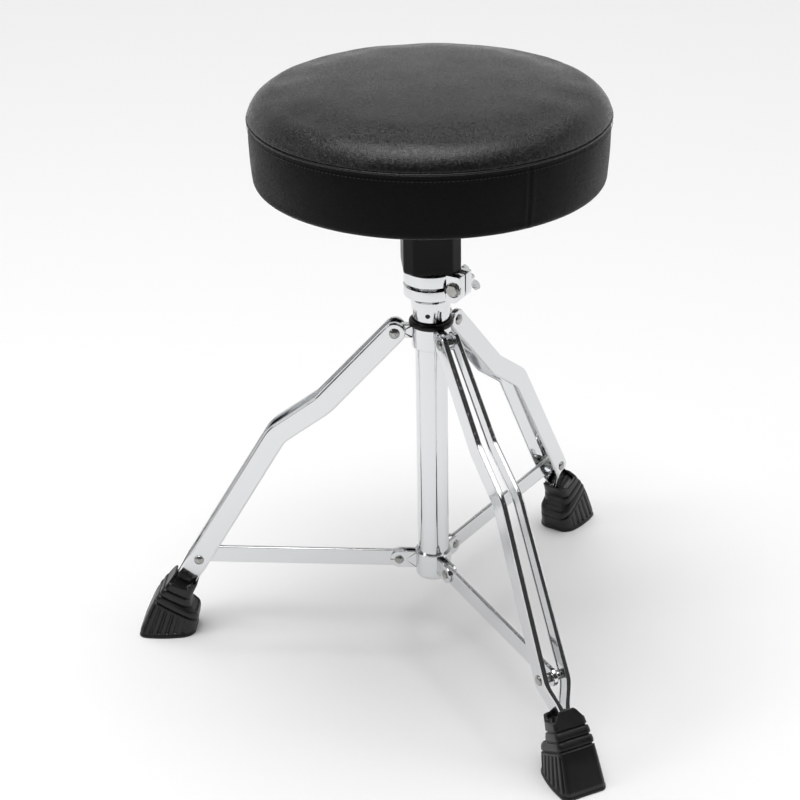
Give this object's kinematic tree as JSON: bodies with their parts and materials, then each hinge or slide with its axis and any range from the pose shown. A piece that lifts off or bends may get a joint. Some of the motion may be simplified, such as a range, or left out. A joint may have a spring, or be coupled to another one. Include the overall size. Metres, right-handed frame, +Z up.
{
  "type": "drum throne",
  "caption": "Round padded drum throne: crowned black vinyl seat on a swivel post, split height clamp, and a folding double-braced chrome tripod with rubber feet.",
  "frame": {"origin": "on the floor, under the axis of the column", "axes": "+Z up along the column; the left leg points along -X, the other two legs at 120 degrees from it"},
  "size_m": [0.474, 0.5472, 0.5885],
  "materials": {
    "chrome": "bright chrome plate",
    "cast_chrome": "chrome plate over a casting, slightly uneven",
    "zinc_steel": "zinc plated",
    "black_steel": "black powder coat",
    "hub_plastic": "satin moulded black plastic",
    "bush_plastic": "black nylon",
    "foot_rubber": "moulded black rubber",
    "vinyl_top": "black grained vinyl, semi-gloss",
    "vinyl_side": "black grained vinyl, semi-gloss",
    "vinyl_welt": "black vinyl piping",
    "foam": "upholstery foam",
    "plywood": "bare plywood",
    "dust_cloth": "thin non-woven cloth"
  },
  "bodies": {
    "column": {"main_tube": "chrome", "post_bush": "bush_plastic", "lower_collar": "cast_chrome", "lower_collar_rivets": "zinc_steel", "clamp_casting": "cast_chrome", "set_screw": "black_steel", "clamp_bolt": "zinc_steel", "clamp_washer": "zinc_steel"},
    "crown": {"crown_bush": "bush_plastic", "crown_collar": "cast_chrome"},
    "left_leg": {"left_leg_strip_a": "chrome", "left_leg_strip_b": "chrome", "left_leg_top_rivet": "zinc_steel", "left_leg_pivot_spacers": "zinc_steel", "left_foot": "foot_rubber"},
    "left_brace": {"left_strut": "chrome"},
    "front_leg": {"front_leg_strip_a": "chrome", "front_leg_strip_b": "chrome", "front_leg_top_rivet": "zinc_steel", "front_leg_pivot_spacers": "zinc_steel", "front_foot": "foot_rubber"},
    "front_brace": {"front_strut": "chrome"},
    "rear_leg": {"rear_leg_strip_a": "chrome", "rear_leg_strip_b": "chrome", "rear_leg_top_rivet": "zinc_steel", "rear_leg_pivot_spacers": "zinc_steel", "rear_foot": "foot_rubber"},
    "rear_brace": {"rear_strut": "chrome"},
    "post": {"post_tube": "chrome", "post_end_plug": "bush_plastic", "post_top_plug": "zinc_steel"},
    "seat": {"thrust_washer": "bush_plastic", "hub": "hub_plastic", "hub_screws": "zinc_steel", "seat_plate": "black_steel", "plate_screws": "zinc_steel", "dust_cover": "dust_cloth", "cover_staples": "zinc_steel", "seat_board": "plywood", "tee_nuts": "zinc_steel", "seat_foam": "foam", "seat_side_band": "vinyl_side", "seat_welt": "vinyl_welt", "seat_top_cover": "vinyl_top"},
    "clamp_nut": {"wing_nut": "cast_chrome"}
  },
  "joints": [
    {"name": "crown_slide", "type": "slide", "parent": "column", "child": "crown", "axis": [0, 0, -1], "range_m": [0, 0.13065]},
    {"name": "left_leg_fold", "type": "hinge", "parent": "crown", "child": "left_leg", "pos_m": [-0.0347, 0, 0.3425], "axis": [0, -1, 0], "range_deg": [0, 33.15]},
    {"name": "left_brace_fold", "type": "hinge", "parent": "column", "child": "left_brace", "pos_m": [-0.0344, 0, 0.0897], "axis": [0, -1, 0], "range_deg": [0, 81.05]},
    {"name": "front_leg_fold", "type": "hinge", "parent": "crown", "child": "front_leg", "pos_m": [0.01735, -0.03005, 0.3425], "axis": [0.866, 0.5, 0], "range_deg": [0, 33.15]},
    {"name": "front_brace_fold", "type": "hinge", "parent": "column", "child": "front_brace", "pos_m": [0.0172, -0.02979, 0.0897], "axis": [0.866, 0.5, 0], "range_deg": [0, 81.05]},
    {"name": "rear_leg_fold", "type": "hinge", "parent": "crown", "child": "rear_leg", "pos_m": [0.01735, 0.03005, 0.3425], "axis": [-0.866, 0.5, 0], "range_deg": [0, 33.15]},
    {"name": "rear_brace_fold", "type": "hinge", "parent": "column", "child": "rear_brace", "pos_m": [0.0172, 0.02979, 0.0897], "axis": [-0.866, 0.5, 0], "range_deg": [0, 81.05]},
    {"name": "post_height", "type": "slide", "parent": "column", "child": "post", "axis": [0, 0, 1], "range_m": [0, 0.13]},
    {"name": "seat_swivel", "type": "hinge", "parent": "post", "child": "seat", "pos_m": [0, 0, 0.47], "axis": [0, 0, 1], "continuous": true},
    {"name": "wing_nut_turn", "type": "hinge", "parent": "column", "child": "clamp_nut", "pos_m": [0.02696, -0.01315, 0.3943], "axis": [0.4384, 0.8988, 0], "continuous": true}
  ],
  "couplings": [
    {"joint": "left_leg_fold", "follows": "crown_slide", "rad_per_m": 4.4222},
    {"joint": "left_brace_fold", "follows": "crown_slide", "rad_per_m": 10.82},
    {"joint": "front_leg_fold", "follows": "crown_slide", "rad_per_m": 4.4222},
    {"joint": "front_brace_fold", "follows": "crown_slide", "rad_per_m": 10.82},
    {"joint": "rear_leg_fold", "follows": "crown_slide", "rad_per_m": 4.4222},
    {"joint": "rear_brace_fold", "follows": "crown_slide", "rad_per_m": 10.82}
  ]
}
